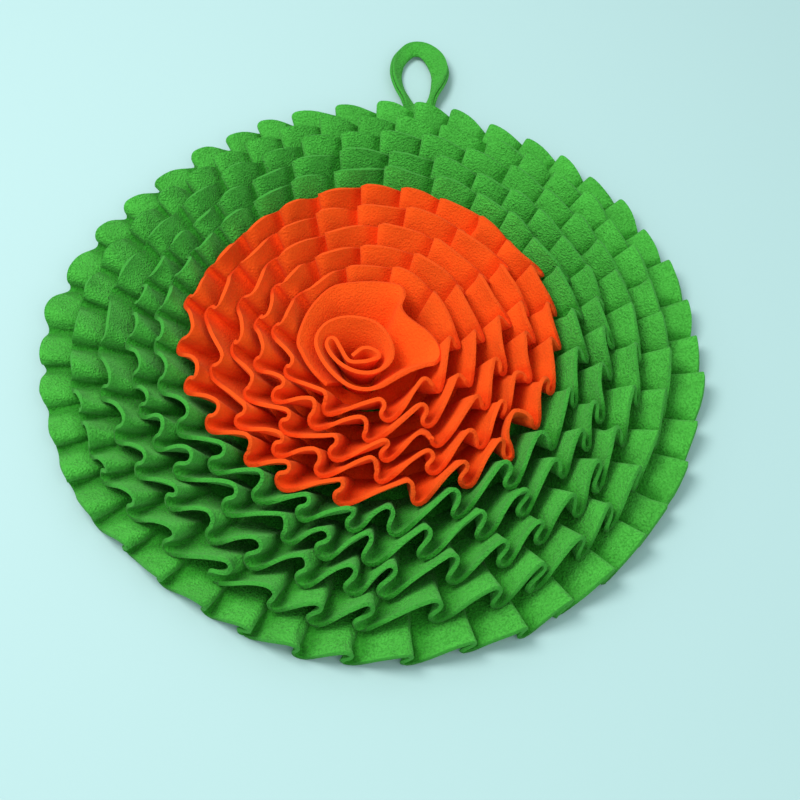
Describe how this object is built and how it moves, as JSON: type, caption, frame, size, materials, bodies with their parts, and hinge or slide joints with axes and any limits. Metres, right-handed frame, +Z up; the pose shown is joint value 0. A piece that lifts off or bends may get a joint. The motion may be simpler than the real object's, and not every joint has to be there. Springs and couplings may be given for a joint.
{
  "type": "snuffle mat",
  "caption": "Round pet snuffle mat of pleated fleece ruffles in concentric rows round a wound rosette, with a fleece hanging loop at the rim.",
  "frame": {"origin": "centre of the base cloth's underside, on the surface it rests on", "axes": "+Z up, +Y from the middle towards the hanging loop's side, +X to the right seen from the front"},
  "size_m": [0.4493, 0.52, 0.0419],
  "materials": {
    "green_fleece": "matt brushed fleece with a short curled nap",
    "orange_fleece": "matt brushed fleece with a short curled nap"
  },
  "bodies": {
    "root": {"base_cloth": "green_fleece", "green_ruffle_1": "green_fleece", "green_ruffle_2": "green_fleece", "green_ruffle_3": "green_fleece", "green_ruffle_4": "green_fleece", "green_ruffle_5": "green_fleece", "orange_ruffle_1": "orange_fleece", "orange_ruffle_2": "orange_fleece", "orange_ruffle_3": "orange_fleece", "orange_ruffle_4": "orange_fleece", "orange_ruffle_5": "orange_fleece", "rosette": "orange_fleece", "hanging_loop": "green_fleece"}
  },
  "joints": []
}
